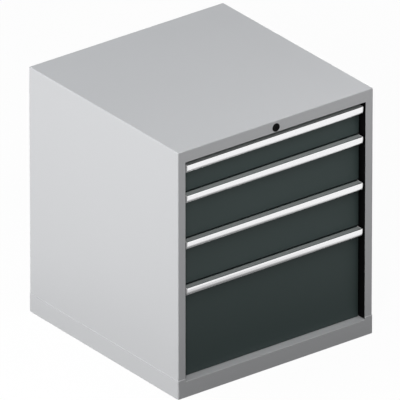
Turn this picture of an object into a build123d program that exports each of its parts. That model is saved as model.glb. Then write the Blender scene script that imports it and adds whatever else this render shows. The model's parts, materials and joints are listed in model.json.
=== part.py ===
from build123d import *
import math
import os

# A workshop drawer cabinet. Millimetres, +X right, +Y back, +Z up, origin on the floor below its middle.

# Driving dimensions
BODY_W = 714.0
BODY_D = 722.0
HEIGHT = 800.0
SHEET = 1.5
FOLD_R = 3.0
SKIRT_PROUD = 1.5
SKIRT_H = 60.0
SKIRT_FLANGE = 25.0
SILL_Z = 51.5
POST_W = 26.5
RAIL_Z = 762.0
RAIL_FLANGE = 25.0
EDGE_R = 1.2
LID_EDGE = 8.0
FRONT_RECESS = 28.0
FRONT_GAP = 3.5
ZONE_BOTTOM = 50.0
FRONT_HEIGHTS = (98.0, 150.0, 150.0, 300.0)
TRAY_INSIDE = 612.0
TRAVEL = 580.0
SHEET_BEND = 2.0
INSIDE_GAP = 2.0

# Planes that follow from them
HALF_W = BODY_W / 2
FACE_Y = -BODY_D / 2
BACK_Y = BODY_D / 2
OPENING = HALF_W - POST_W
FRONT_Y = FACE_Y + FRONT_RECESS
FRONT_HALF = OPENING - FRONT_GAP
LID_Z = HEIGHT - LID_EDGE
INSIDE = HALF_W - SHEET - INSIDE_GAP

# Drawer pan and tray
PAN_D = 15.0
PAN_LIFT = 3.0
PAN_DROP = 2.2
PAN_EDGE_R = 1.4
TRAY_LIFT = 5.0
TRAY_DROP = 10.5
TRAY_RIM = 5.0
TRAY_HALF = TRAY_INSIDE / 2
TRAY_FRONT = FRONT_Y + PAN_D
TRAY_BACK = TRAY_FRONT + SHEET + TRAY_INSIDE

# Handle bar: the face bulges by FACE_BULGE down to FACE_H, then curves under to the finger edge
BAR_HALF = 321.0
BAR_H = 24.0
BAR_FACE = FACE_Y + 2.7
BAR_WALL = 2.0
FACE_BULGE = 0.5
FACE_H = 9.0
CURL_IN = 5.3
CURL_MID = (1.75, 16.9)
CURL_T = (1.8, 0.6)
CURL_TIP = (1.5, 1.1)
FLANGE_H = 16.0
CAP_T = 3.0
LABEL_W = 17.0
LABEL_T = 0.8
LABEL_BACK = 4.0
SCREW_X = (-260.0, -100.0, 100.0, 260.0)
SCREW_DROP = 9.0
SCREW_R = 2.0
SCREW_HEAD_R = 3.8
SCREW_HEAD_H = 1.8
SCREW_GAP = 0.1
SCREW_TAIL = 7.0
CROSS_R = 2.0
CROSS_W = 0.8
CROSS_DEEP = 1.2

# Slides, measured outward from the tray wall
UPRIGHT_X = OPENING + SHEET
UPRIGHT_D = 60.0
UPRIGHT_PAST = 10.0
RAIL_LIFT = 42.0
RAIL_FRONT = TRAY_FRONT + 3.0
RAIL_BACK = 300.0
RAIL_HALF_H = 12.8
RUNNER_EXTRA = 1.0
MIDDLE_SHORT = (2.0, 3.0)
FLANGE_IN = 9.5
FLANGE_OUT = 10.0
WEB_X = 318.5
WEB_T = 2.0
MIDDLE_EDGE_R = 4.0
ROLLER_R = 11.0
ROLLER_W = 7.2
ROLLER_SIDE = 0.8
RECESS_R = (5.0, 8.5)
RECESS_DEEP = 0.6
AXLE_R = 3.0
AXLE_GAP = 0.08
AXLE_HEAD_R = 4.5
AXLE_HEAD_T = 1.0
AXLE_END = 0.2
FRONT_ROOM = 16.0
CENTRE_ROOM = 17.0
REAR_ROOM = 17.0
STATION_Y = (RAIL_FRONT + FRONT_ROOM, RAIL_FRONT + TRAVEL / 2 + CENTRE_ROOM, RAIL_BACK - REAR_ROOM)

# Back panel: pressed ribs and round-headed screws
RIB_X = (-200.0, 0.0, 200.0)
RIB_HALF = 15.0
RIB_Z = (120.0, 720.0)
RIB_PROUD = SHEET
BACK_SCREW_Z = (90.0, 310.0, 530.0, 750.0)
BACK_SCREW_IN = 8.0
BACK_SCREW_R = 2.0
BACK_SCREW_HEAD_R = 4.5
BACK_SCREW_TAIL = 8.0
SCREW_HOLE_GAP = 0.2
REAR_FLANGE = 15.0

# Lock
LOCK_Z = 778.0
LOCK_FLANGE_R = 13.0
LOCK_BODY_R = 10.0
LOCK_LEN = 28.0
LOCK_EDGE_R = 0.9
PLUG_R = 7.0
PLUG_SUNK = 0.3
PLUG_CHAMFER = 0.4
PLUG_END = FACE_Y + LOCK_LEN + 4.0
KEY_SLOT_W = 1.4
KEY_DEEP = 20.0
KEY_SLOT_Z = (-4.5, 3.0)
SHAFT_R = 4.0
RUN_GAP = 0.08
SHAFT_END = 336.0
CRANK_R = 10.0
CRANK_T = 4.0
HUB_R = 7.0
ARM_W = 9.0
PIN_R = 2.5
PIN_PLAY = 0.45
PIN_TAIL = 2.0
LOCK_BAR_Y = 341.0
LOCK_BAR_T = 3.0
LOCK_BAR_HALF = 20.0
LOCK_BAR_BOTTOM = 70.0
LOCK_BAR_TOP = 780.0
CATCH_DROP = 22.0
CATCH_HALF = 12.0
LIP_Y = 330.0
LIP_H = 12.0
TOOTH_HALF = 10.0
TOOTH_T = 3.0
TOOTH_H = 18.0
TOOTH_PLAY = 3.0
TOOTH_BEHIND = 1.0
GUIDE_Z = (120.0, 640.0)
GUIDE_H = 24.0
GUIDE_HALF = 32.0
GUIDE_WALL = 5.0
GUIDE_PLAY = 0.5
BRACKET_HALF = 16.0
BRACKET_T = 8.0
BRACKET_BELOW = 11.0


def slab(x, y, z):
    """Block between two limits along each axis."""
    size = (x[1] - x[0], y[1] - y[0], z[1] - z[0])
    return Pos((x[0] + x[1]) / 2, (y[0] + y[1]) / 2, (z[0] + z[1]) / 2) * Box(*size)


def rod(axis, centre, radius, start, end):
    """Cylinder along axis "x" or "y" from start to end; centre is the other two coordinates."""
    if axis == "x":
        place = Pos((start + end) / 2, centre[0], centre[1]) * Rot(0, 90, 0)
    else:
        place = Pos(centre[0], (start + end) / 2, centre[1]) * Rot(90, 0, 0)
    return place * Cylinder(radius, end - start)


def sheet_z(points, z, bend=FOLD_R - SHEET / 2):
    """Folded sheet that stands upright, from the middle line of its section in X and Y."""
    path = FilletPolyline(*points, radius=bend)
    return Pos(0, 0, z[0]) * extrude(trace(path, line_width=SHEET), amount=z[1] - z[0])


def section_x(face, x):
    """A section drawn in Y and Z, carried along X between two limits."""
    return extrude(Plane.YZ.offset(x[0]) * face, amount=x[1] - x[0])


def both_sides(*solids):
    """The solids and their mirror images on the other side of the cabinet."""
    return [*solids, *(mirror(solid, about=Plane.YZ) for solid in solids)]


def save(name, *solids):
    """One file for each node; several solids stay separate in it."""
    shape = solids[0] if len(solids) == 1 else Compound(children=list(solids))
    export_step(shape, f"parts/{name}.step")


def drawer_zones():
    """Bottom and top of each drawer's place, from the top drawer down."""
    top = ZONE_BOTTOM + sum(FRONT_HEIGHTS)
    zones = []
    for height in FRONT_HEIGHTS:
        zones.append((top - height, top))
        top -= height
    return zones


# Housing

def side_panel():
    """Right side: front post face, side sheet and rear flange from one folded sheet."""
    mid = SHEET / 2
    points = [(OPENING, FACE_Y + mid), (HALF_W - mid, FACE_Y + mid),
              (HALF_W - mid, BACK_Y - mid), (HALF_W - REAR_FLANGE, BACK_Y - mid)]
    panel = sheet_z(points, (SHEET, LID_Z))
    for x, z in back_screw_places():
        if x > 0:
            panel -= back_screw_hole(x, z)
    return panel


def top_panel():
    """Shallow cover with rounded edges, its rim flush with the side panels."""
    outer = Pos(0, 0, LID_Z + LID_EDGE / 2) * Box(BODY_W, BODY_D, LID_EDGE)
    outer = fillet(outer.edges().filter_by(Axis.Z), FOLD_R)
    outer = fillet(outer.faces().sort_by(Axis.Z)[-1].edges(), FOLD_R)
    inner_h = LID_EDGE - SHEET
    inner = Pos(0, 0, LID_Z + inner_h / 2) * Box(BODY_W - 2 * SHEET, BODY_D - 2 * SHEET, inner_h)
    inner = fillet(inner.edges().filter_by(Axis.Z), FOLD_R - SHEET)
    return outer - inner


def top_rail():
    """Front rail under the top panel's edge, with a stiffening flange and the hole for the lock."""
    rail = slab((-OPENING, OPENING), (FACE_Y, FACE_Y + SHEET), (RAIL_Z, LID_Z))
    rail += slab((-OPENING, OPENING), (FACE_Y, FACE_Y + RAIL_FLANGE), (RAIL_Z, RAIL_Z + SHEET))
    low_edge = rail.edges().filter_by(Axis.X).group_by(Axis.Z)[0].sort_by(Axis.Y)[0]
    rail = fillet(low_edge, EDGE_R)
    return rail - rod("y", (0, LOCK_Z), LOCK_BODY_R + RUN_GAP, FACE_Y - 1, FACE_Y + SHEET + 1)


def base_plinth():
    """Skirt round the foot, cut low between the posts, with a flange that stands on the floor."""
    width = BODY_W + 2 * SKIRT_PROUD
    depth = BODY_D + 2 * SKIRT_PROUD
    ring = extrude(RectangleRounded(width, depth, FOLD_R + SKIRT_PROUD), amount=SKIRT_H)
    ring = chamfer(ring.faces().sort_by(Axis.Z)[-1].edges(), SKIRT_PROUD / 2)
    ring -= Pos(0, 0, SHEET) * extrude(RectangleRounded(BODY_W, BODY_D, FOLD_R), amount=SKIRT_H)
    open_w, open_d = width - 2 * SKIRT_FLANGE, depth - 2 * SKIRT_FLANGE
    ring -= Pos(0, 0, -1) * extrude(RectangleRounded(open_w, open_d, FOLD_R), amount=SKIRT_H)
    reach = 2 * SKIRT_PROUD
    notch_z = (SILL_Z - SHEET, SKIRT_H + 1)
    return ring - slab((-OPENING, OPENING), (FACE_Y - reach, FACE_Y + reach), notch_z)


def bottom_panel():
    """Floor of the housing; its front edge is the sill under the lowest drawer."""
    z = (SILL_Z - SHEET, SILL_Z)
    floor = slab((-INSIDE, INSIDE), (FACE_Y + SHEET, BACK_Y - 2 * SHEET), z)
    sill = slab((-OPENING, OPENING), (FACE_Y - SKIRT_PROUD, FACE_Y + SHEET), z)
    panel = floor + sill
    nose = panel.edges().filter_by(Axis.X).group_by(Axis.Y)[0].sort_by(Axis.Z)[-1]
    return fillet(nose, EDGE_R)


def back_screw_places():
    """Places of the screws that hold the back panel to the rear flanges."""
    return [(side * (HALF_W - BACK_SCREW_IN), z) for side in (-1, 1) for z in BACK_SCREW_Z]


def back_screw_hole(x, z):
    """Cutter for one screw's hole through flange and back sheet."""
    reach = 3 * SHEET
    return rod("y", (x, z), BACK_SCREW_R + SCREW_HOLE_GAP, BACK_Y - reach, BACK_Y + reach)


def back_panel():
    """Back sheet behind the rear flanges, with three pressed stiffening ribs."""
    outer_y, inner_y = BACK_Y - SHEET, BACK_Y - 2 * SHEET
    panel = slab((-INSIDE, INSIDE), (inner_y, outer_y), (SILL_Z, LID_Z))
    for x in RIB_X:
        rib = slab((x - RIB_HALF, x + RIB_HALF), (inner_y, outer_y + RIB_PROUD), RIB_Z)
        rib = fillet(rib.faces().sort_by(Axis.Y)[-1].edges(), RIB_PROUD - 0.5)
        inner_half = RIB_HALF - SHEET
        groove_z = (RIB_Z[0] + SHEET, RIB_Z[1] - SHEET)
        groove = slab((x - inner_half, x + inner_half), (inner_y - 1, outer_y), groove_z)
        panel = panel + rib - groove
    for x, z in back_screw_places():
        panel -= back_screw_hole(x, z)
    return panel


def back_screws():
    """Screws of the back panel, low round heads outside."""
    screws = []
    slot_deep = SKIRT_PROUD / 2
    for x, z in back_screw_places():
        head = rod("y", (x, z), BACK_SCREW_HEAD_R, BACK_Y, BACK_Y + SKIRT_PROUD)
        head = fillet(head.faces().sort_by(Axis.Y)[-1].edges(), SKIRT_PROUD - 0.5)
        shank = rod("y", (x, z), BACK_SCREW_R, BACK_Y - BACK_SCREW_TAIL, BACK_Y)
        screws.append(head + shank - cross(x, z, BACK_Y + slot_deep, BACK_Y + 2 * SKIRT_PROUD))
    return screws


def cross(x, z, start, end):
    """Cutter for a cross recess in a screw head, from start to end along Y."""
    half = CROSS_W / 2
    level = slab((x - CROSS_R, x + CROSS_R), (start, end), (z - half, z + half))
    return level + slab((x - half, x + half), (start, end), (z - CROSS_R, z + CROSS_R))


def upright(y):
    """U section that carries the rails on one side, its web towards the drawers."""
    mid = SHEET / 2
    points = [(INSIDE, y[0] + mid), (UPRIGHT_X + mid, y[0] + mid),
              (UPRIGHT_X + mid, y[1] - mid), (INSIDE, y[1] - mid)]
    return sheet_z(points, (SILL_Z, LID_Z), bend=SHEET_BEND)


def channel(web_x, open_x, y, centre_z):
    """Roller channel from its web to its open side. Web and flanges are plates, so each collides alone."""
    inner_x = web_x + math.copysign(SHEET, open_x - web_x)
    low, high = centre_z - RAIL_HALF_H, centre_z + RAIL_HALF_H
    plates = [slab(sorted((web_x, inner_x)), y, (low, high))]
    for z in ((low, low + SHEET), (high - SHEET, high)):
        plates.append(slab(sorted((inner_x, open_x)), y, z))
    return plates


def fixed_rails():
    """Channels on the uprights for every drawer, open towards the drawer."""
    plates = []
    for zone in drawer_zones():
        plates += channel(UPRIGHT_X, UPRIGHT_X - FLANGE_OUT, (RAIL_FRONT, RAIL_BACK), zone[0] + RAIL_LIFT)
    return both_sides(*plates)


# Lock

def lock_case():
    """Case of the cylinder lock, with the round flange on the rail."""
    flange = rod("y", (0, LOCK_Z), LOCK_FLANGE_R, FACE_Y - SKIRT_PROUD, FACE_Y)
    flange = fillet(flange.faces().sort_by(Axis.Y)[0].edges(), LOCK_EDGE_R)
    body = rod("y", (0, LOCK_Z), LOCK_BODY_R, FACE_Y, FACE_Y + LOCK_LEN)
    bore = rod("y", (0, LOCK_Z), PLUG_R + RUN_GAP, FACE_Y - LOCK_LEN, FACE_Y + 2 * LOCK_LEN)
    return flange + body - bore


def lock_cylinder():
    """Plug of the lock, turned by the key, with its key slot."""
    front = FACE_Y - SKIRT_PROUD + PLUG_SUNK
    plug = rod("y", (0, LOCK_Z), PLUG_R, front, PLUG_END)
    plug = chamfer(plug.faces().sort_by(Axis.Y)[0].edges(), PLUG_CHAMFER)
    slot_z = (LOCK_Z + KEY_SLOT_Z[0], LOCK_Z + KEY_SLOT_Z[1])
    return plug - slab((-KEY_SLOT_W / 2, KEY_SLOT_W / 2), (front - 1, front + KEY_DEEP), slot_z)


def crank_pin_place():
    """The crank pin at rest, 45 degrees below level on the left."""
    reach = CRANK_R * math.sin(math.radians(45))
    return (-reach, LOCK_Z - reach)


def lock_shaft():
    """Shaft from the cylinder to the back, with the crank that lifts the lock bar."""
    pin_x, pin_z = crank_pin_place()
    crank_y = (SHAFT_END, SHAFT_END + CRANK_T)
    shaft = rod("y", (0, LOCK_Z), SHAFT_R, PLUG_END, SHAFT_END)
    hub = rod("y", (0, LOCK_Z), HUB_R, *crank_y)
    arm = Pos(pin_x / 2, 0, (LOCK_Z + pin_z) / 2) * Rot(0, 45, 0) * Box(ARM_W, CRANK_T, CRANK_R)
    arm = Pos(0, (crank_y[0] + crank_y[1]) / 2, 0) * arm
    end = rod("y", (pin_x, pin_z), ARM_W / 2, *crank_y)
    pin = rod("y", (pin_x, pin_z), PIN_R, crank_y[1], LOCK_BAR_Y + LOCK_BAR_T + PIN_TAIL)
    return shaft + hub + arm + end + pin


def lock_bar():
    """Bar behind the drawers, lifted to lock, with an arm and a tooth for each tray's catch."""
    y = (LOCK_BAR_Y, LOCK_BAR_Y + LOCK_BAR_T)
    bar = slab((-LOCK_BAR_HALF, LOCK_BAR_HALF), y, (LOCK_BAR_BOTTOM, LOCK_BAR_TOP))
    pin_x, pin_z = crank_pin_place()
    slot_x = (-CRANK_R - PIN_R - PIN_PLAY, pin_x + PIN_R + PIN_PLAY)
    slot_z = (pin_z - PIN_R - PIN_PLAY, pin_z + PIN_R + PIN_PLAY)
    solids = [bar - slab(slot_x, (y[0] - 1, y[1] + 1), slot_z)]
    tooth_x = (-TOOTH_HALF, TOOTH_HALF)
    tooth_y = (LIP_Y - TOOTH_BEHIND - TOOTH_T, LIP_Y - TOOTH_BEHIND)
    for _, zone_top in drawer_zones():
        top = zone_top - CATCH_DROP - LIP_H - TOOTH_PLAY
        arm_top = top - TOOTH_H + TOOTH_T
        solids.append(slab(tooth_x, (tooth_y[0], y[0]), (arm_top - TOOTH_T, arm_top)))
        solids.append(slab(tooth_x, tooth_y, (arm_top, top)))
    return solids


def lock_guides():
    """Two guides for the bar on the back panel, and the bracket that bears the shaft."""
    guides = []
    track_x = (-LOCK_BAR_HALF - GUIDE_PLAY, LOCK_BAR_HALF + GUIDE_PLAY)
    track_y = (LOCK_BAR_Y - GUIDE_PLAY, LOCK_BAR_Y + LOCK_BAR_T + GUIDE_PLAY)
    block_y = (LOCK_BAR_Y - GUIDE_WALL, BACK_Y - 2 * SHEET)
    for z in GUIDE_Z:
        block = slab((-GUIDE_HALF, GUIDE_HALF), block_y, (z, z + GUIDE_H))
        guides.append(block - slab(track_x, track_y, (z - 1, z + GUIDE_H + 1)))
    bracket_y = (SHAFT_END - CRANK_T - BRACKET_T, SHAFT_END - CRANK_T)
    bracket_z = (LOCK_Z - BRACKET_BELOW, HEIGHT - SHEET)
    bracket = slab((-BRACKET_HALF, BRACKET_HALF), bracket_y, bracket_z)
    guides.append(bracket - rod("y", (0, LOCK_Z), SHAFT_R + RUN_GAP, bracket_y[0] - 1, SHAFT_END))
    return guides


# Drawers

def tray(zone):
    """Open box with an outward rim and a higher front wall."""
    bottom, top = zone[0] + TRAY_LIFT, zone[1] - TRAY_DROP
    half = TRAY_HALF + SHEET
    y = (TRAY_FRONT, TRAY_BACK + SHEET)
    box = slab((-half, half), y, (bottom, top))
    box += slab((-half, half), (y[0], y[0] + SHEET), (top, zone[1] - PAN_DROP))
    box += slab((-half - TRAY_RIM, half + TRAY_RIM), (y[0], y[1] + TRAY_RIM), (top - SHEET, top))
    inside = (bottom + SHEET, zone[1] + 1)
    box -= slab((-TRAY_HALF, TRAY_HALF), (TRAY_FRONT + SHEET, TRAY_BACK), inside)
    return box


def catch(zone_top):
    """Catch for the lock, welded to the back of the tray: its plate and its turned-down lip."""
    z = zone_top - CATCH_DROP
    width = (-CATCH_HALF, CATCH_HALF)
    plate = slab(width, (TRAY_BACK + SHEET, LIP_Y + SHEET), (z, z + SHEET))
    return [plate, slab(width, (LIP_Y, LIP_Y + SHEET), (z - LIP_H, z))]


def front_panel(zone):
    """Pan with a flat face and returns on all four sides."""
    z = (zone[0] + PAN_LIFT, zone[1] - PAN_DROP)
    panel = slab((-FRONT_HALF, FRONT_HALF), (FRONT_Y, TRAY_FRONT), z)
    panel = fillet(panel.edges().group_by(Axis.Y)[0], PAN_EDGE_R)
    room_x = FRONT_HALF - SHEET
    room = slab((-room_x, room_x), (FRONT_Y + SHEET, TRAY_FRONT + 1), (z[0] + SHEET, z[1] - SHEET))
    panel -= room
    hole_y = (FRONT_Y - 1, FRONT_Y + SHEET + 1)
    for x in SCREW_X:
        panel -= rod("y", (x, zone[1] - SCREW_DROP), SCREW_R + SCREW_GAP, *hole_y)
    return panel


def handle_front(zone_top):
    """The outer curves of the bar's section: the bulging face and the curl below it."""
    y = BAR_FACE
    face_end = (y + FACE_BULGE, zone_top - FACE_H)
    face = ThreePointArc((y + FACE_BULGE, zone_top), (y, zone_top - FACE_H / 2), face_end)
    curl_mid = (y + CURL_MID[0], zone_top - CURL_MID[1])
    return [face, ThreePointArc(face_end, curl_mid, (y + CURL_IN, zone_top - BAR_H))]


def handle_section(zone_top):
    """Section of the handle bar in Y and Z: face, curl, screw flange and label groove."""
    y0, y1 = BAR_FACE, FRONT_Y
    wall_y = y0 + FACE_BULGE + BAR_WALL
    under_z = zone_top - BAR_WALL - LABEL_T
    label_y = (y1 - LABEL_BACK - LABEL_W, y1 - LABEL_BACK)
    curl_tip = (y0 + CURL_IN + CURL_TIP[0], zone_top - BAR_H + CURL_TIP[1])
    curl_mid = (y0 + CURL_MID[0] + CURL_T[0], zone_top - CURL_MID[1] + CURL_T[1])
    inner_curl = ThreePointArc(curl_tip, curl_mid, (wall_y, zone_top - FACE_H))
    rest = Polyline(
        (wall_y, zone_top - FACE_H), (wall_y, under_z), (y1 - BAR_WALL, under_z),
        (y1 - BAR_WALL, zone_top - FLANGE_H), (y1, zone_top - FLANGE_H), (y1, zone_top),
        (label_y[1], zone_top), (label_y[1], zone_top - LABEL_T), (label_y[0], zone_top - LABEL_T),
        (label_y[0], zone_top), (y0 + FACE_BULGE, zone_top))
    tip = Line((y0 + CURL_IN, zone_top - BAR_H), curl_tip)
    return make_face([*handle_front(zone_top), tip, inner_curl, rest])


def handle_screw(x, z, grow=0.0):
    """Countersunk screw through the handle's flange; grow widens it to cut its own hole."""
    head_front = FRONT_Y - BAR_WALL
    cone = Cone(SCREW_R + grow, SCREW_HEAD_R + grow, SCREW_HEAD_H)
    cone = Pos(x, head_front + SCREW_HEAD_H / 2, z) * Rot(90, 0, 0) * cone
    return cone + rod("y", (x, z), SCREW_R + grow, head_front + SCREW_HEAD_H, FRONT_Y + SCREW_TAIL)


def handle(zone):
    """Aluminium handle bar along the drawer's top edge."""
    bar = section_x(handle_section(zone[1]), (-BAR_HALF, BAR_HALF))
    for x in SCREW_X:
        bar -= handle_screw(x, zone[1] - SCREW_DROP, grow=SCREW_GAP)
    return bar


def handle_screws(zone):
    """Screws of the handle bar, each with a cross recess."""
    head_front = FRONT_Y - BAR_WALL
    z = zone[1] - SCREW_DROP
    screws = []
    for x in SCREW_X:
        screws.append(handle_screw(x, z) - cross(x, z, head_front - 1, head_front + CROSS_DEEP))
    return screws


def label_strip(zone):
    """Clear strip with its card, lying in the groove on top of the bar."""
    y = (FRONT_Y - LABEL_BACK - LABEL_W, FRONT_Y - LABEL_BACK)
    return slab((-BAR_HALF, BAR_HALF), y, (zone[1] - LABEL_T, zone[1]))


def handle_cap(zone):
    """End cap that closes the bar on the right."""
    top = zone[1]
    rest = Polyline((BAR_FACE + CURL_IN, top - BAR_H), (FRONT_Y, top - FLANGE_H), (FRONT_Y, top),
                    (BAR_FACE + FACE_BULGE, top))
    cap = section_x(make_face([*handle_front(top), rest]), (BAR_HALF, BAR_HALF + CAP_T))
    return chamfer(cap.faces().sort_by(Axis.X)[-1].edges(), CAP_T / 2.5)


def runner_rails(centre_z):
    """Channels on the tray's side walls, open outward."""
    web_x = TRAY_HALF + SHEET
    y = (RAIL_FRONT - RUNNER_EXTRA, TRAY_BACK + SHEET)
    return both_sides(*channel(web_x, web_x + FLANGE_IN, y, centre_z))


def inner_roller_x():
    """Limits along X of a roller in the runner rail."""
    return (WEB_X - ROLLER_SIDE - ROLLER_W, WEB_X - ROLLER_SIDE)


def outer_roller_x():
    """Limits along X of a roller in the fixed rail."""
    start = WEB_X + WEB_T + ROLLER_SIDE
    return (start, start + ROLLER_W)


def axle(station, centre_z):
    """Axle pin through the middle rail. It reaches inward at the front, outward at the back, else both."""
    y = STATION_Y[station]
    inner_x, outer_x = inner_roller_x(), outer_roller_x()
    start = inner_x[0] - AXLE_END if station < 2 else WEB_X
    end = outer_x[1] + AXLE_END if station > 0 else WEB_X + WEB_T
    pin = rod("x", (y, centre_z), AXLE_R, start, end)
    if station < 2:
        pin += rod("x", (y, centre_z), AXLE_HEAD_R, start - AXLE_HEAD_T, start)
    if station > 0:
        pin += rod("x", (y, centre_z), AXLE_HEAD_R, end, end + AXLE_HEAD_T)
    return pin


def middle_rails(centre_z):
    """Middle rail of each side, with its three axle pins as separate solids."""
    y = (RAIL_FRONT + MIDDLE_SHORT[0], RAIL_BACK - MIDDLE_SHORT[1])
    rail = slab((WEB_X, WEB_X + WEB_T), y, (centre_z - RAIL_HALF_H, centre_z + RAIL_HALF_H))
    rail = fillet(rail.edges().filter_by(Axis.X), MIDDLE_EDGE_R)
    for place in STATION_Y:
        rail -= rod("x", (place, centre_z), AXLE_R, WEB_X - 1, WEB_X + WEB_T + 1)
    solids = both_sides(rail)
    for station in range(len(STATION_Y)):
        solids += both_sides(axle(station, centre_z))
    return solids


def roller(y, centre_z, x):
    """One roller with its running bore and a shallow turned recess on each face."""
    body = rod("x", (y, centre_z), ROLLER_R, *x)
    body = chamfer(body.edges().filter_by(GeomType.CIRCLE), RECESS_DEEP)
    for face_x in x:
        recess = rod("x", (y, centre_z), RECESS_R[1], face_x - RECESS_DEEP, face_x + RECESS_DEEP)
        body -= recess - rod("x", (y, centre_z), RECESS_R[0], face_x - 1, face_x + 1)
    return body - rod("x", (y, centre_z), AXLE_R + AXLE_GAP, x[0] - 1, x[1] + 1)


def rollers(station, centre_z):
    """Rollers of both sides at one station of the middle rails."""
    y = STATION_Y[station]
    solids = []
    if station < 2:
        solids += both_sides(roller(y, centre_z, inner_roller_x()))
    if station > 0:
        solids += both_sides(roller(y, centre_z, outer_roller_x()))
    return solids


def save_housing():
    """Housing and lock."""
    right = side_panel()
    save("right_side_panel", right)
    save("left_side_panel", mirror(right, about=Plane.YZ))
    save("top_panel", top_panel())
    save("top_rail", top_rail())
    save("base_plinth", base_plinth())
    save("bottom_panel", bottom_panel())
    save("back_panel", back_panel())
    save("back_screws", *back_screws())
    front_y = (FACE_Y + SHEET, FACE_Y + SHEET + UPRIGHT_D)
    rear_y = (RAIL_BACK + UPRIGHT_PAST - UPRIGHT_D, RAIL_BACK + UPRIGHT_PAST)
    save("front_uprights", *both_sides(upright(front_y)))
    save("rear_uprights", *both_sides(upright(rear_y)))
    save("fixed_rails", *fixed_rails())
    save("lock_case", lock_case())
    save("lock_cylinder", lock_cylinder())
    save("lock_shaft", lock_shaft())
    save("lock_bar", *lock_bar())
    save("lock_guides", *lock_guides())


def save_drawer(number, zone):
    """One drawer with its slides."""
    name = f"drawer_{number}"
    centre_z = zone[0] + RAIL_LIFT
    save(f"{name}_tray", tray(zone), *catch(zone[1]))
    save(f"{name}_front_panel", front_panel(zone))
    save(f"{name}_handle", handle(zone))
    save(f"{name}_handle_caps", *both_sides(handle_cap(zone)))
    save(f"{name}_handle_screws", *handle_screws(zone))
    save(f"{name}_label_strip", label_strip(zone))
    save(f"{name}_runner_rails", *runner_rails(centre_z))
    save(f"{name}_middle_rails", *middle_rails(centre_z))
    for station, place in enumerate(("front", "centre", "rear")):
        save(f"{name}_{place}_rollers", *rollers(station, centre_z))


os.makedirs("parts", exist_ok=True)
save_housing()
for number, zone in enumerate(drawer_zones(), start=1):
    save_drawer(number, zone)
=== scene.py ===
import json
import math

import bmesh
import bpy
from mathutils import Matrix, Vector


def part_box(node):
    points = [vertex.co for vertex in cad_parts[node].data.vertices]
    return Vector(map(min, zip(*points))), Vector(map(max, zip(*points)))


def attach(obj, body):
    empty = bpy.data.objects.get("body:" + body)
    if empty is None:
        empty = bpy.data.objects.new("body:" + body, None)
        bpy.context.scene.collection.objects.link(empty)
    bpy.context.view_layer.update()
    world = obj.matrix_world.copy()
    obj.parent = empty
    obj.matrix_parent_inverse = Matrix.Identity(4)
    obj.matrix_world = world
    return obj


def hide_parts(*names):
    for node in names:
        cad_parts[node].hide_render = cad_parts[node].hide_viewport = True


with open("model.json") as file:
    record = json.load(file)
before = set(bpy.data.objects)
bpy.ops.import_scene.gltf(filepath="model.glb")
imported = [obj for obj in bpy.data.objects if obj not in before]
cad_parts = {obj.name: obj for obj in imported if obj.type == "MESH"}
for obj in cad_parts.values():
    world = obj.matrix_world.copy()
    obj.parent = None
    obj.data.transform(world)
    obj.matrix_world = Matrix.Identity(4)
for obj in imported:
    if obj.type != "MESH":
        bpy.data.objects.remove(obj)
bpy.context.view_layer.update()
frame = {"nodes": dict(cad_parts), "record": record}

# Camera: the photograph is close to a parallel projection, so the lens is very long
VIEW_AZIMUTH = math.radians(-37.25)
VIEW_ELEVATION = math.radians(26.39)
FRAME_WIDTH = 1.172
LENS = 1500.0
SENSOR = 36.0
AIM = Vector((0.0, 0.0, 0.4))
AIM_RIGHT = -0.0023

# Floor: what it bounces onto the cabinet, and what the camera and gloss see of it
FLOOR_HALF = 12.0
FLOOR_DROP = 0.0003
FLOOR_BOUNCE = 0.1
FLOOR_SEEN = 0.06
FLOOR_GLOW = 0.95
# Painted shadow: between these distances from the origin, the floor's glow that gloss sees dims
# down to the depth
PAINTED_SHADOW_START = 0.45
PAINTED_SHADOW_END = 0.9
PAINTED_SHADOW_DEPTH = 0.2

# Light: each lamp as (name, place, aim, width and height, watts, colour)
WORLD_STRENGTH = 0.05
NEUTRAL = (1.0, 1.0, 1.0)
COOL = (0.93, 0.965, 1.0)
LAMPS = (
    ("key", (-4.6, -4.7, 4.2), (0, -0.3, 0.45), (1.0, 1.0), 120.0, NEUTRAL),
    ("left_softbox", (-4.0, 0.3, 0.9), (0, 0, 0.4), (3.0, 3.0), 162.0, NEUTRAL),
    ("top_softbox", (-0.3, 1.5, 3.2), (0, 0, 0.8), (1.8, 1.8), 25.0, COOL),
    ("front_softbox", (0.4, -1.25, 2.2), (0.1, -0.36, 0.5), (0.8, 0.8), 11.5, NEUTRAL),
    ("front_fill", (1.2, -2.6, 1.1), (0, -0.36, 0.4), (1.2, 1.2), 4.5, NEUTRAL),
    ("rear_softbox", (3.4, 3.0, 0.5), (0, 0, 0.4), (2.5, 1.5), 60.0, NEUTRAL),
)

# Finishes: noise scales are per metre, and a stretch below 1 draws the noise out along an axis
CLOUD_SCALE = 3.5
HANDLED_SCALE = 14.0
PEEL_SCALE = 650.0
LINE_SCALE = 900.0
SMUDGE_SCALE = 22.0
LINES_ALONG_X = (0.01, 1.0, 1.0)
LINES_ALONG_Y = (1.0, 0.012, 1.0)
RELIEF_DEPTH = 0.0002

# Drawer trays, in metres
DRAWERS = (1, 2, 3, 4)
SHEET = 0.0015
BEND = 0.003
BEND_STEPS = 4
SHARP_ANGLE = math.radians(35)
TRAY_CORNER = 0.005
RIM = 0.005
FRONT_TAB = 0.0083
SLOT_PITCH = 0.017
SLOT_WIDTH = 0.0026
SLOT_LONG = 0.05
SLOT_ROW = 0.07
CATCH_BELOW = 0.01905
CATCH_HALF = 0.012
CATCH_FOOT = 0.01
CATCH_LIP = 0.01275
CATCH_BEND = 0.0015


# Colours

def srgb(red, green, blue):
    """A colour written as 0 to 255, as the shader's linear colour."""
    channels = []
    for value in (red, green, blue):
        value /= 255
        linear = value / 12.92 if value <= 0.04045 else ((value + 0.055) / 1.055) ** 2.4
        channels.append(linear)
    return (*channels, 1.0)


def grey(value):
    """A grey in the shader's linear colour."""
    return (value, value, value, 1.0)


# Shader helpers

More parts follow.
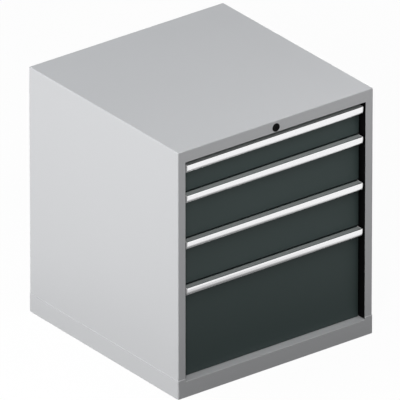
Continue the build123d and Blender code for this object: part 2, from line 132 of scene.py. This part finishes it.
def link(tree, start, end):
    tree.links.new(start, end)


def math_node(tree, operation, first, second):
    """A Math node; each input is a socket or a number."""
    node = tree.nodes.new("ShaderNodeMath")
    node.operation = operation
    for slot, value in zip(node.inputs, (first, second)):
        if isinstance(value, bpy.types.NodeSocket):
            link(tree, value, slot)
        else:
            slot.default_value = value
    return node.outputs[0]


def object_noise(tree, scale, detail=2.0, stretch=(1.0, 1.0, 1.0)):
    """Noise in the object's own metres; its scale is a socket or a number."""
    place = tree.nodes.new("ShaderNodeTexCoord")
    mapping = tree.nodes.new("ShaderNodeMapping")
    mapping.inputs["Scale"].default_value = stretch
    noise = tree.nodes.new("ShaderNodeTexNoise")
    noise.inputs["Detail"].default_value = detail
    link(tree, place.outputs["Object"], mapping.inputs["Vector"])
    link(tree, mapping.outputs["Vector"], noise.inputs["Vector"])
    if isinstance(scale, bpy.types.NodeSocket):
        link(tree, scale, noise.inputs["Scale"])
    else:
        noise.inputs["Scale"].default_value = scale
    return noise.outputs["Fac"]


def spread(tree, value, amount, middle):
    """middle plus the noise's swing about 0.5, times amount."""
    swing = math_node(tree, "SUBTRACT", value, 0.5)
    return math_node(tree, "ADD", math_node(tree, "MULTIPLY", swing, amount), middle)


def tinted(tree, colour, factor):
    """A colour made lighter or darker by a factor near 1."""
    scale = tree.nodes.new("ShaderNodeVectorMath")
    scale.operation = "SCALE"
    link(tree, colour, scale.inputs[0])
    link(tree, factor, scale.inputs["Scale"])
    return scale.outputs["Vector"]


# Finishes

def socket_kind(label):
    return "NodeSocketColor" if label == "Colour" else "NodeSocketFloat"


def new_group(name, defaults):
    """A finish's node group with its sockets, and its inner input and output nodes."""
    tree = bpy.data.node_groups.new(name, "ShaderNodeTree")
    for label, default in defaults.items():
        socket = tree.interface.new_socket(label, in_out="INPUT", socket_type=socket_kind(label))
        socket.default_value = default
    for label in ("Colour", "Roughness", "Height"):
        tree.interface.new_socket(label, in_out="OUTPUT", socket_type=socket_kind(label))
    return tree, tree.nodes.new("NodeGroupInput"), tree.nodes.new("NodeGroupOutput")


def wire_finish(tree, given, out, tone, wander, height):
    """Noises that vary the given colour and roughness, and one that gives the height."""
    factor = spread(tree, tone, given.outputs["Tone"], 1.0)
    link(tree, tinted(tree, given.outputs["Colour"], factor), out.inputs["Colour"])
    rough = spread(tree, wander, given.outputs["Wander"], given.outputs["Roughness"])
    link(tree, rough, out.inputs["Roughness"])
    link(tree, height, out.inputs["Height"])


def coating_group():
    """Powder coat: faint cloudy tone, fine orange peel and a roughness that wanders a little."""
    tree, given, out = new_group(
        "powder_coat",
        {"Colour": grey(0.5), "Tone": 0.04, "Roughness": 0.45, "Wander": 0.08,
         "Peel Scale": PEEL_SCALE})
    cloud = object_noise(tree, CLOUD_SCALE)
    handled = object_noise(tree, HANDLED_SCALE, detail=4.0)
    peel = object_noise(tree, given.outputs["Peel Scale"])
    wire_finish(tree, given, out, cloud, handled, peel)
    return tree


def drawn_group(name, stretch):
    """Fine lines left along a drawn, rolled or extruded length."""
    tree, given, out = new_group(
        name, {"Colour": grey(0.8), "Tone": 0.05, "Roughness": 0.3, "Wander": 0.12})
    lines = object_noise(tree, LINE_SCALE, detail=3.0, stretch=stretch)
    smudge = object_noise(tree, SMUDGE_SCALE, detail=3.0)
    wire_finish(tree, given, out, lines, smudge, lines)
    return tree


def finish_material(name, group, values, bump, metallic=0.0, specular=0.5):
    """A material whose colour, roughness and relief come from a shared group."""
    material = bpy.data.materials.new(name)
    material.use_nodes = True
    tree = material.node_tree
    shader = tree.nodes["Principled BSDF"]
    shader.inputs["Metallic"].default_value = metallic
    shader.inputs["Specular IOR Level"].default_value = specular
    source = tree.nodes.new("ShaderNodeGroup")
    source.node_tree = group
    for label, value in values.items():
        source.inputs[label].default_value = value
    link(tree, source.outputs["Colour"], shader.inputs["Base Color"])
    link(tree, source.outputs["Roughness"], shader.inputs["Roughness"])
    relief = tree.nodes.new("ShaderNodeBump")
    relief.inputs["Strength"].default_value = bump
    relief.inputs["Distance"].default_value = RELIEF_DEPTH
    link(tree, source.outputs["Height"], relief.inputs["Height"])
    link(tree, relief.outputs["Normal"], shader.inputs["Normal"])
    return material


def make_materials():
    """Every finish of the cabinet, by the record's slot name."""
    coat = coating_group()
    along_x = drawn_group("extruded_lines", LINES_ALONG_X)
    along_y = drawn_group("rolled_lines", LINES_ALONG_Y)
    return {
        "body_paint": finish_material(
            "light_grey_powder_coat", coat,
            {"Colour": srgb(205, 206, 208), "Tone": 0.02, "Roughness": 0.4, "Wander": 0.06},
            bump=0.2),
        "front_paint": finish_material(
            "anthracite_powder_coat", coat,
            {"Colour": srgb(62, 74, 73), "Tone": 0.05, "Roughness": 0.5, "Wander": 0.08},
            bump=0.3, specular=0.25),
        "tray_paint": finish_material(
            "tray_grey_powder_coat", coat,
            {"Colour": srgb(186, 188, 191), "Tone": 0.03, "Roughness": 0.48, "Wander": 0.1},
            bump=0.25, specular=0.35),
        # painted shade: near black so the reveal between post and drawer fronts reads as deep shade
        "black_paint": finish_material(
            "upright_black_for_reveal_shade", coat,
            {"Colour": srgb(8, 8, 9), "Tone": 0.1, "Roughness": 0.7, "Wander": 0.1},
            bump=0.2, specular=0.08),
        "aluminium": finish_material(
            "anodised_aluminium", along_x,
            {"Colour": srgb(246, 246, 247), "Tone": 0.03, "Roughness": 0.24, "Wander": 0.08},
            bump=0.12, metallic=1.0),
        "label_cover": finish_material(
            "label_card_under_cover", coat,
            {"Colour": srgb(158, 163, 162), "Tone": 0.05, "Roughness": 0.35, "Wander": 0.1,
             "Peel Scale": 240.0},
            bump=0.05, specular=0.25),
        "cap_plastic": finish_material(
            "cap_light_plastic", coat,
            {"Colour": srgb(236, 236, 236), "Tone": 0.02, "Roughness": 0.4, "Wander": 0.05,
             "Peel Scale": 1400.0},
            bump=0.15),
        "zinc": finish_material(
            "zinc_plated_steel", along_y,
            {"Colour": srgb(196, 199, 204), "Tone": 0.1, "Roughness": 0.34, "Wander": 0.2},
            bump=0.15, metallic=1.0),
        "roller_steel": finish_material(
            "turned_steel", along_y,
            {"Colour": srgb(150, 152, 156), "Tone": 0.1, "Roughness": 0.3, "Wander": 0.1},
            bump=0.1, metallic=1.0),
        "lock_black": finish_material(
            "lock_case_black", coat,
            {"Colour": srgb(5, 5, 5), "Tone": 0.05, "Roughness": 0.55, "Wander": 0.06,
             "Peel Scale": 1600.0},
            bump=0.1, specular=0.08),
        "lock_plug": finish_material(
            "lock_plug_nickel", along_y,
            {"Colour": srgb(12, 12, 13), "Tone": 0.06, "Roughness": 0.5, "Wander": 0.08},
            bump=0.08, metallic=1.0),
        "guide_plastic": finish_material(
            "guide_black_plastic", coat,
            {"Colour": srgb(28, 28, 29), "Tone": 0.06, "Roughness": 0.5, "Wander": 0.08,
             "Peel Scale": 1200.0},
            bump=0.15, specular=0.4),
    }


def paint(piece, material):
    """The piece gets one material."""
    piece.data.materials.clear()
    piece.data.materials.append(material)


def dress_nodes(materials):
    """Each CAD node takes the finish of its record slot."""
    for part in frame["record"]["subparts"]:
        paint(frame["nodes"][part["node"]], materials[part["material_slot"]])


# Folded sheet

def rounded(points, radius=BEND, steps=BEND_STEPS):
    """A path in two dimensions with each inner corner turned into an arc."""
    path = [Vector(points[0])]
    for before, corner, after in zip(points, points[1:], points[2:]):
        corner = Vector(corner)
        back = (Vector(before) - corner).normalized()
        on = (Vector(after) - corner).normalized()
        half = math.acos(max(-1.0, min(1.0, back.dot(on)))) / 2
        centre = corner + (back + on).normalized() * radius / math.sin(half)
        start = (corner + back * radius / math.tan(half) - centre).normalized()
        end = (corner + on * radius / math.tan(half) - centre).normalized()
        for step in range(steps + 1):
            path.append(centre + start.slerp(end, step / steps) * radius)
    path.append(Vector(points[-1]))
    return path


def in_scene(name, data):
    """A new object in the scene's collection."""
    thing = bpy.data.objects.new(name, data)
    bpy.context.scene.collection.objects.link(thing)
    return thing


def new_piece(name, mesh, body, slot):
    """A mesh object that rides on a body and takes its finish from a record slot."""
    piece = in_scene(name, mesh)
    paint(piece, MATERIALS[slot])
    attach(piece, body)
    return piece


def sheet_piece(name, sheets, body, slot):
    """A piece of folded sheet from its middle surface, given its thickness and smooth bends."""
    bmesh.ops.recalc_face_normals(sheets, faces=sheets.faces)
    mesh = bpy.data.meshes.new(name)
    sheets.to_mesh(mesh)
    sheets.free()
    piece = new_piece(name, mesh, body, slot)
    skin = piece.modifiers.new("thickness", "SOLIDIFY")
    skin.thickness = SHEET
    skin.offset = 0
    skin.use_even_offset = True
    smooth_bends(piece)
    return piece


def smooth_bends(piece):
    """Applies the modifiers, then shades bends smooth and cut edges sharp."""
    graph = bpy.context.evaluated_depsgraph_get()
    made = bpy.data.meshes.new_from_object(piece.evaluated_get(graph))
    made.name = piece.name
    piece.modifiers.clear()
    piece.data = made
    made.shade_smooth()
    made.set_sharp_from_angle(angle=SHARP_ANGLE)


# Drawer trays

def slot_breaks(length):
    """Places along a wall, from its middle, as (place, whether a slot begins there)."""
    count = int(length / SLOT_PITCH) - 1
    breaks = [(-length / 2, False)]
    for number in range(count):
        middle = (number - (count - 1) / 2) * SLOT_PITCH
        breaks += [(middle - SLOT_WIDTH / 2, True), (middle + SLOT_WIDTH / 2, False)]
    return breaks + [(length / 2, False)]


def tray_stations(middle, half):
    """Stations round the wall: (place, outward direction, on the front wall, slot follows)."""
    stations = []
    for side in range(4):
        turn = math.radians(90 * side)
        along = Vector((math.cos(turn), math.sin(turn)))
        outward = Vector((math.sin(turn), -math.cos(turn)))
        for place, slot in slot_breaks(2 * (half - TRAY_CORNER)):
            spot = middle + outward * half + along * place
            stations.append((spot, outward, side == 0, slot))
        corner = middle + (outward + along) * (half - TRAY_CORNER)
        for step in range(1, BEND_STEPS):
            angle = math.radians(90 * step / BEND_STEPS)
            facing = outward * math.cos(angle) + along * math.sin(angle)
            stations.append((corner + facing * TRAY_CORNER, facing, False, False))
    return stations


def tray_rows(floor_z, wall_top):
    """Rows up the wall as (outward offset, height), where slots begin, and the wall's last row."""
    floor_edge = -(BEND + TRAY_CORNER) / 2
    rim_edge = RIM - SHEET / 2
    turned = rounded([(floor_edge, floor_z), (0, floor_z), (0, wall_top), (rim_edge, wall_top)])
    low, high = turned[:BEND_STEPS + 2], turned[BEND_STEPS + 2:]
    rows = [(p.x, p.y) for p in low]
    height = wall_top - floor_z
    count = round(height / SLOT_ROW)
    space = (height - count * SLOT_LONG) / (count + 1)
    slots = []
    for number in range(count):
        start = floor_z + space + number * (SLOT_LONG + space)
        slots.append(len(rows))
        rows += [(0, start), (0, start + SLOT_LONG)]
    last = len(rows)
    rows += [(p.x, p.y) for p in high]
    return rows, slots, last


def tray_half(high):
    """Half the tray's width to the middle of its wall, from the corner of its box."""
    return high.x - RIM - SHEET / 2


def tray_surface(sheets, low, high):
    """Middle surface of the tray: floor, slotted walls, rim on three sides and front tab."""
    half = tray_half(high)
    middle = Vector(((low.x + high.x) / 2, low.y + SHEET / 2 + half))
    stations = tray_stations(middle, half)
    rows, slots, last = tray_rows(low.z + SHEET / 2, high.z - FRONT_TAB - SHEET / 2)
    grid = []
    for place, outward, front, _ in stations:
        column = []
        for number, (offset, z) in enumerate(rows):
            if front and number > last:
                share = (number - last) / (len(rows) - 1 - last)
                offset, z = 0, rows[last][1] + share * (high.z - rows[last][1])
            spot = place + outward * offset
            column.append(sheets.verts.new((spot.x, spot.y, z)))
        grid.append(column)
    for number, (_, _, front, slot) in enumerate(stations):
        after = (number + 1) % len(stations)
        top_rows_join = front == stations[after][2]
        for row in range(len(rows) - 1):
            if (slot and row in slots) or (row >= last and not top_rows_join):
                continue
            sheets.faces.new((grid[number][row], grid[after][row], grid[after][row + 1],
                              grid[number][row + 1]))
    sheets.faces.new([column[0] for column in grid])


def catch_surface(sheets, low, high):
    """Catch at the back that the lock bar holds: foot on the wall, plate and turned-down lip."""
    wall = low.y + SHEET + 2 * tray_half(high) + SHEET / 2
    z = high.z - CATCH_BELOW
    lip_y = high.y - SHEET / 2
    path = rounded([(wall, z - CATCH_FOOT), (wall, z), (lip_y, z), (lip_y, z - CATCH_LIP)],
                   radius=CATCH_BEND)
    left, right = [[sheets.verts.new((x, p.x, p.y)) for p in path]
                   for x in (-CATCH_HALF, CATCH_HALF)]
    for corners in zip(left, right, right[1:], left[1:]):
        sheets.faces.new(corners)


def build_trays():
    """A slotted tray in place of each drawer's plain one."""
    for number in DRAWERS:
        node = f"drawer_{number}_tray"
        low, high = (Vector(corner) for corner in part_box(node))
        sheets = bmesh.new()
        tray_surface(sheets, low, high)
        catch_surface(sheets, low, high)
        piece = sheet_piece(f"drawer_{number}_slotted_tray", sheets, f"drawer_{number}",
                            "tray_paint")
        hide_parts(node)


# Floor, light and camera

def seen_rays(tree):
    """1 for camera, glossy and transmission rays."""
    path = tree.nodes.new("ShaderNodeLightPath")
    first = math_node(tree, "MAXIMUM", path.outputs["Is Camera Ray"],
                      path.outputs["Is Glossy Ray"])
    return math_node(tree, "MAXIMUM", first, path.outputs["Is Transmission Ray"])


def painted_foot_shadow(tree):
    """1 for the camera; for other rays a painted shadow that dims the glow towards the object."""
    place = tree.nodes.new("ShaderNodeNewGeometry")
    reach = tree.nodes.new("ShaderNodeVectorMath")
    reach.operation = "LENGTH"
    link(tree, place.outputs["Position"], reach.inputs[0])
    fade = tree.nodes.new("ShaderNodeMapRange")
    fade.interpolation_type = "SMOOTHSTEP"
    for label, value in (("From Min", PAINTED_SHADOW_START), ("From Max", PAINTED_SHADOW_END),
                         ("To Min", PAINTED_SHADOW_DEPTH), ("To Max", 1.0)):
        fade.inputs[label].default_value = value
    link(tree, reach.outputs["Value"], fade.inputs["Value"])
    path = tree.nodes.new("ShaderNodeLightPath")
    return math_node(tree, "MAXIMUM", path.outputs["Is Camera Ray"], fade.outputs["Result"])


def matt(tree, value):
    """A plain matt grey."""
    shader = tree.nodes.new("ShaderNodeBsdfDiffuse")
    shader.inputs["Color"].default_value = grey(value)
    return shader.outputs[0]


def floor_material():
    """Pale floor seen white by the camera, and by gloss except at the foot's painted shadow."""
    material = bpy.data.materials.new("pale_floor")
    material.use_nodes = True
    tree = material.node_tree
    tree.nodes.clear()
    glow = tree.nodes.new("ShaderNodeEmission")
    # painted shadow: the glow that gloss sees dims near the object's foot
    link(tree, math_node(tree, "MULTIPLY", painted_foot_shadow(tree), FLOOR_GLOW), glow.inputs["Strength"])
    lit = tree.nodes.new("ShaderNodeAddShader")
    link(tree, matt(tree, FLOOR_SEEN), lit.inputs[0])
    link(tree, glow.outputs[0], lit.inputs[1])
    mix = tree.nodes.new("ShaderNodeMixShader")
    link(tree, seen_rays(tree), mix.inputs["Fac"])
    link(tree, matt(tree, FLOOR_BOUNCE), mix.inputs[1])
    link(tree, lit.outputs[0], mix.inputs[2])
    out = tree.nodes.new("ShaderNodeOutputMaterial")
    link(tree, mix.outputs[0], out.inputs["Surface"])
    return material


def build_floor():
    """A wide flat floor just under the cabinet."""
    mesh = bpy.data.meshes.new("floor")
    corners = [(-FLOOR_HALF, -FLOOR_HALF, 0), (FLOOR_HALF, -FLOOR_HALF, 0),
               (FLOOR_HALF, FLOOR_HALF, 0), (-FLOOR_HALF, FLOOR_HALF, 0)]
    mesh.from_pydata(corners, [], [(0, 1, 2, 3)])
    mesh.materials.append(floor_material())
    floor = in_scene("floor", mesh)
    floor.location.z = -FLOOR_DROP


def build_world(strength):
    """Soft even light, and white where the camera or gloss looks past the object."""
    world = bpy.data.worlds.new("studio")
    bpy.context.scene.world = world
    world.use_nodes = True
    tree = world.node_tree
    light = tree.nodes["Background"]
    light.inputs["Color"].default_value = grey(1.0)
    white_less_soft = math_node(tree, "MULTIPLY", seen_rays(tree), 1.0 - strength)
    link(tree, math_node(tree, "ADD", white_less_soft, strength), light.inputs["Strength"])


def area_lamp(name, place, aim, size, power, colour):
    """A softbox, its width and height in metres and its power in watts."""
    lamp = bpy.data.lights.new(name, "AREA")
    lamp.shape = "RECTANGLE"
    lamp.size, lamp.size_y = size
    lamp.energy = power
    lamp.color = colour
    holder = in_scene(name, lamp)
    holder.location = place
    holder.rotation_euler = (Vector(aim) - Vector(place)).to_track_quat("-Z", "Y").to_euler()


def build_light():
    """A small far key from the upper left front, a softbox for each face seen, and one behind."""
    build_world(WORLD_STRENGTH)
    for lamp in LAMPS:
        area_lamp(*lamp)


def build_camera():
    """The photograph's viewing angle, from far away through the long lens."""
    right = Vector((math.cos(VIEW_AZIMUTH), math.sin(VIEW_AZIMUTH), 0))
    back = Vector((math.sin(VIEW_AZIMUTH) * math.cos(VIEW_ELEVATION),
                   -math.cos(VIEW_AZIMUTH) * math.cos(VIEW_ELEVATION),
                   math.sin(VIEW_ELEVATION)))
    distance = FRAME_WIDTH * LENS / SENSOR
    camera = bpy.data.cameras.new("camera")
    camera.lens = LENS
    camera.sensor_width = SENSOR
    camera.clip_end = 2 * distance
    holder = in_scene("camera", camera)
    holder.location = AIM + AIM_RIGHT * right + distance * back
    holder.rotation_euler = back.to_track_quat("Z", "Y").to_euler()
    bpy.context.scene.camera = holder
    bpy.context.scene.view_settings.view_transform = "Standard"


MATERIALS = make_materials()
dress_nodes(MATERIALS)
build_trays()
build_floor()
build_light()
build_camera()
